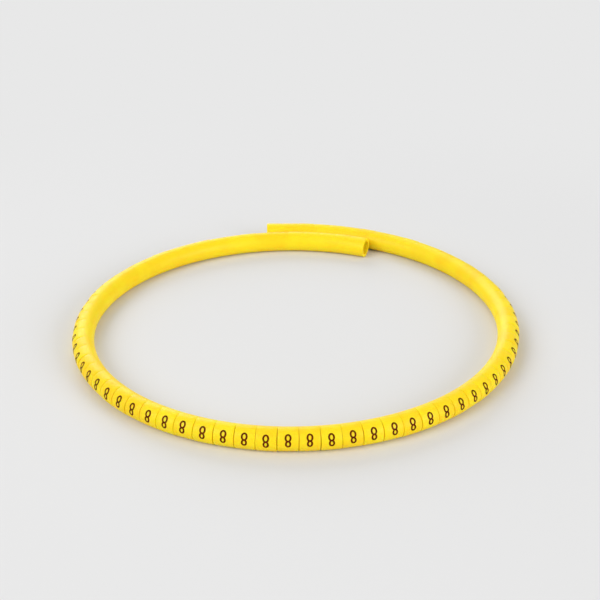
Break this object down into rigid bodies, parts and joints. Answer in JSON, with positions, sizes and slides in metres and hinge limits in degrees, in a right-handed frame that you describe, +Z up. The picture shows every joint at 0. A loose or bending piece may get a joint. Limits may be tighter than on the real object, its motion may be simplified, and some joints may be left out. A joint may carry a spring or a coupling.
{
  "type": "cable marker",
  "caption": "Soft yellow tube slit crosswise into short printed marker sleeves that stay joined by a web, lying as a flat loop with lapped ends; each sleeve is cut off and pushed onto a wire.",
  "frame": {"origin": "centre of the loop's extents, on the surface that it lies on", "axes": "+Z up, through the loop; -Y towards the front of the loop; +Y towards the lapped ends"},
  "size_m": [0.1232, 0.1264, 0.006],
  "materials": {
    "yellow_plastic": "satin"
  },
  "bodies": {
    "root": {"marker_strip": "yellow_plastic"}
  },
  "joints": []
}
